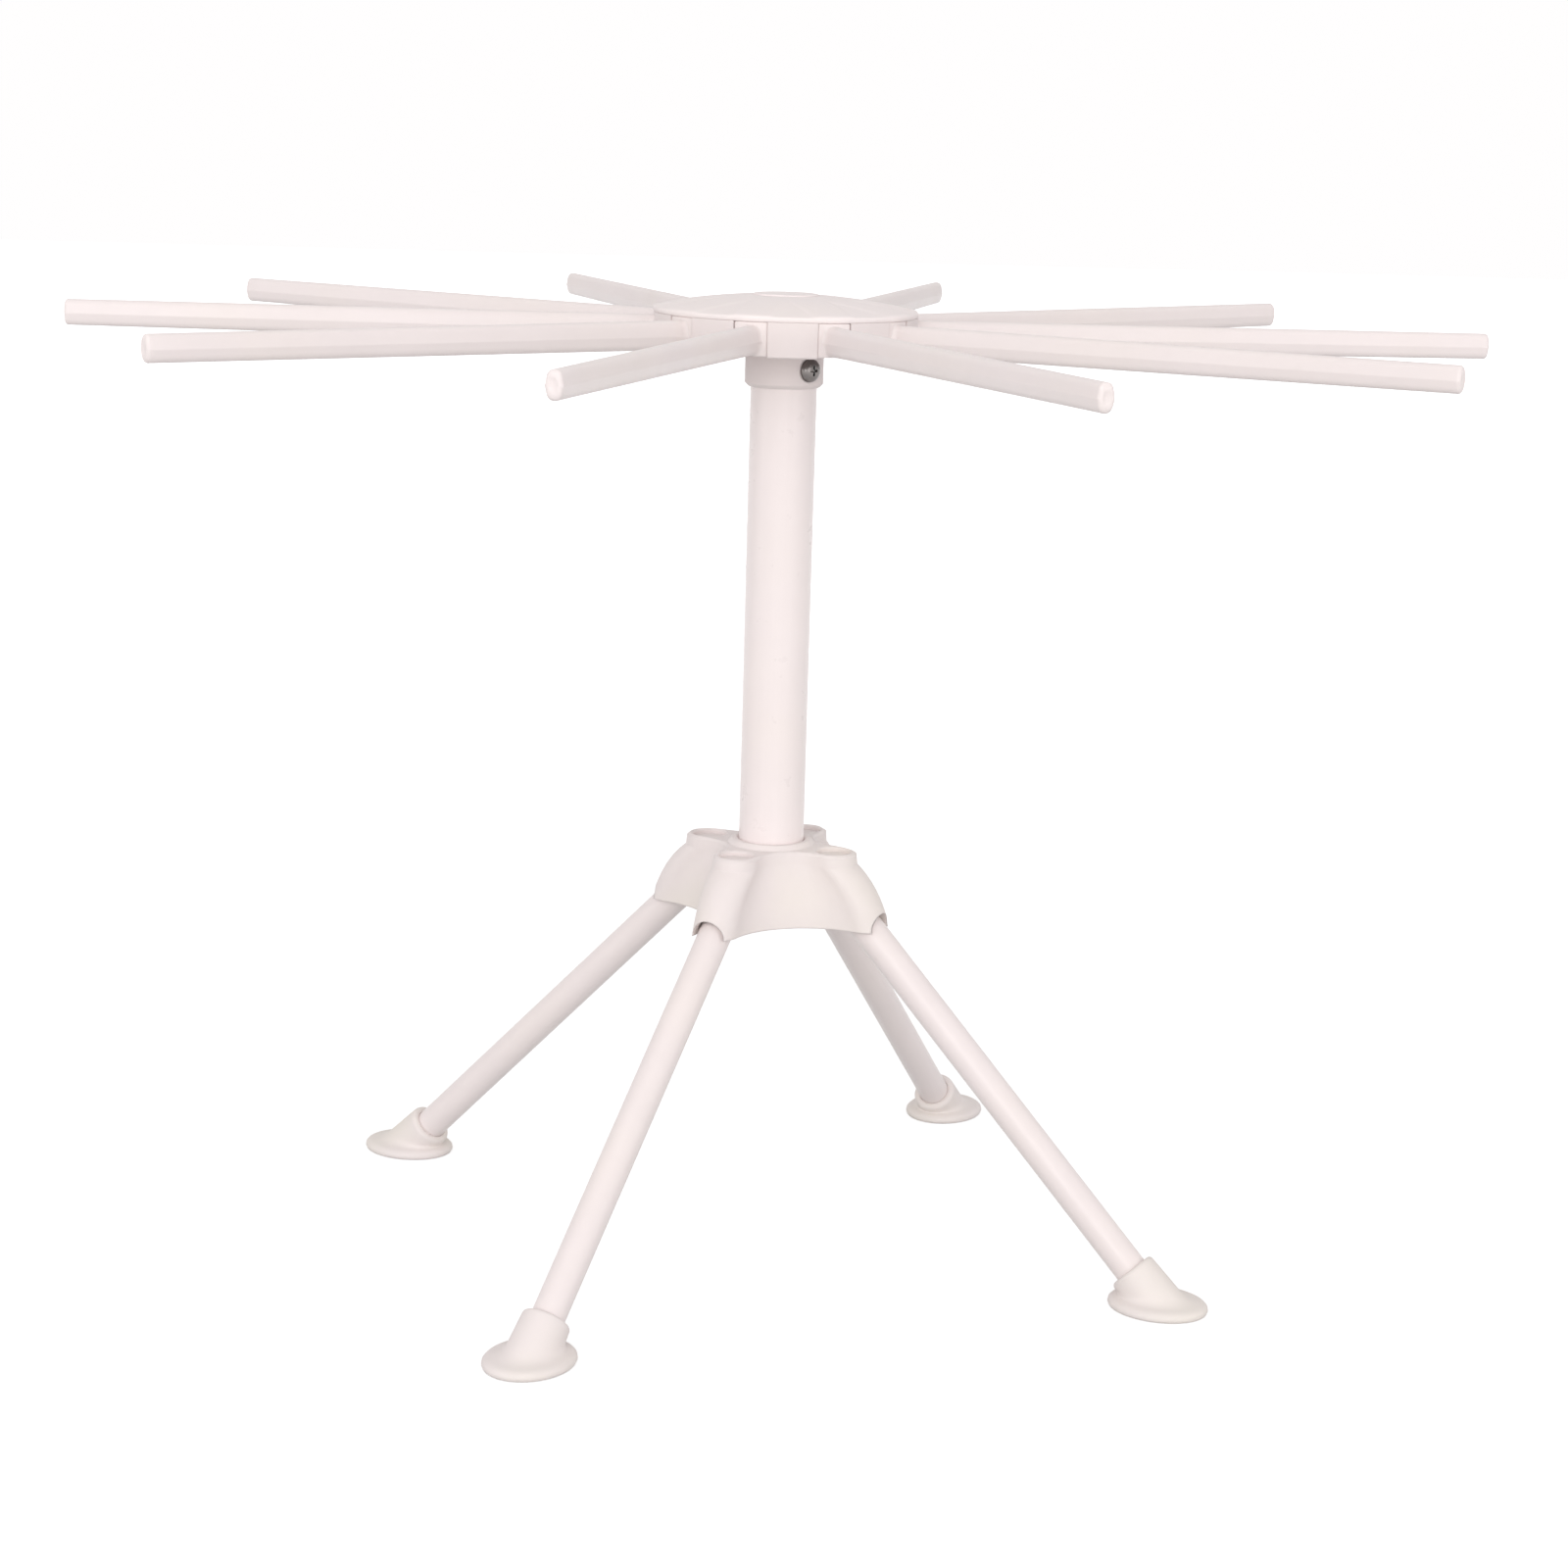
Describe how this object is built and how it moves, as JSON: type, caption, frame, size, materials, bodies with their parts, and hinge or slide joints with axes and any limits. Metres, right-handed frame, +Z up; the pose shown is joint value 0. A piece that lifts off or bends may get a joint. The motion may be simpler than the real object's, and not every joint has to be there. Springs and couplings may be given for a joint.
{
  "type": "pasta drying rack",
  "caption": "Folding pasta drying rack: level arms hinged round a slotted hub, a tube column, and splayed folding legs under a lobed base, each with an oval foot.",
  "frame": {"origin": "on the surface that the rack stands on, under the middle of the column", "axes": "+Z up along the column, +X along the first arm"},
  "size_m": [0.425, 0.4054, 0.2918],
  "materials": {
    "white_plastic": "satin",
    "steel": "polished"
  },
  "bodies": {
    "stand": {"column_tube": "white_plastic", "hub_body": "white_plastic", "hub_cover": "white_plastic", "cover_cap": "white_plastic", "cover_screw": "steel", "collar_screw": "steel", "base_body": "white_plastic"},
    "arm_01": {"arm_01": "white_plastic"},
    "arm_02": {"arm_02": "white_plastic"},
    "arm_03": {"arm_03": "white_plastic"},
    "arm_04": {"arm_04": "white_plastic"},
    "arm_05": {"arm_05": "white_plastic"},
    "arm_06": {"arm_06": "white_plastic"},
    "arm_07": {"arm_07": "white_plastic"},
    "arm_08": {"arm_08": "white_plastic"},
    "arm_09": {"arm_09": "white_plastic"},
    "arm_10": {"arm_10": "white_plastic"},
    "leg_1": {"leg_1": "white_plastic", "foot_1": "white_plastic"},
    "leg_2": {"leg_2": "white_plastic", "foot_2": "white_plastic"},
    "leg_3": {"leg_3": "white_plastic", "foot_3": "white_plastic"},
    "leg_4": {"leg_4": "white_plastic", "foot_4": "white_plastic"}
  },
  "joints": [
    {"name": "arm_01_hinge", "type": "hinge", "parent": "stand", "child": "arm_01", "pos_m": [0.034, 0, 0.2812], "axis": [0, 1, 0], "range_deg": [0, 85]},
    {"name": "arm_02_hinge", "type": "hinge", "parent": "stand", "child": "arm_02", "pos_m": [0.02751, 0.01998, 0.2812], "axis": [-0.5878, 0.809, 0], "range_deg": [0, 85]},
    {"name": "arm_03_hinge", "type": "hinge", "parent": "stand", "child": "arm_03", "pos_m": [0.01051, 0.03234, 0.2812], "axis": [-0.9511, 0.309, 0], "range_deg": [0, 85]},
    {"name": "arm_04_hinge", "type": "hinge", "parent": "stand", "child": "arm_04", "pos_m": [-0.01051, 0.03234, 0.2812], "axis": [-0.9511, -0.309, 0], "range_deg": [0, 85]},
    {"name": "arm_05_hinge", "type": "hinge", "parent": "stand", "child": "arm_05", "pos_m": [-0.02751, 0.01998, 0.2812], "axis": [-0.5878, -0.809, 0], "range_deg": [0, 85]},
    {"name": "arm_06_hinge", "type": "hinge", "parent": "stand", "child": "arm_06", "pos_m": [-0.034, 0, 0.2812], "axis": [0, -1, 0], "range_deg": [0, 85]},
    {"name": "arm_07_hinge", "type": "hinge", "parent": "stand", "child": "arm_07", "pos_m": [-0.02751, -0.01998, 0.2812], "axis": [0.5878, -0.809, 0], "range_deg": [0, 85]},
    {"name": "arm_08_hinge", "type": "hinge", "parent": "stand", "child": "arm_08", "pos_m": [-0.01051, -0.03234, 0.2812], "axis": [0.9511, -0.309, 0], "range_deg": [0, 85]},
    {"name": "arm_09_hinge", "type": "hinge", "parent": "stand", "child": "arm_09", "pos_m": [0.01051, -0.03234, 0.2812], "axis": [0.9511, 0.309, 0], "range_deg": [0, 85]},
    {"name": "arm_10_hinge", "type": "hinge", "parent": "stand", "child": "arm_10", "pos_m": [0.02751, -0.01998, 0.2812], "axis": [0.5878, 0.809, 0], "range_deg": [0, 85]},
    {"name": "leg_1_hinge", "type": "hinge", "parent": "stand", "child": "leg_1", "pos_m": [0.01844, -0.01125, 0.1143], "axis": [0.521, 0.8536, 0], "range_deg": [0, 45]},
    {"name": "leg_2_hinge", "type": "hinge", "parent": "stand", "child": "leg_2", "pos_m": [0.01125, 0.01844, 0.1143], "axis": [-0.8536, 0.521, 0], "range_deg": [0, 45]},
    {"name": "leg_3_hinge", "type": "hinge", "parent": "stand", "child": "leg_3", "pos_m": [-0.01844, 0.01125, 0.1143], "axis": [-0.521, -0.8536, 0], "range_deg": [0, 45]},
    {"name": "leg_4_hinge", "type": "hinge", "parent": "stand", "child": "leg_4", "pos_m": [-0.01125, -0.01844, 0.1143], "axis": [0.8536, -0.521, 0], "range_deg": [0, 45]}
  ]
}
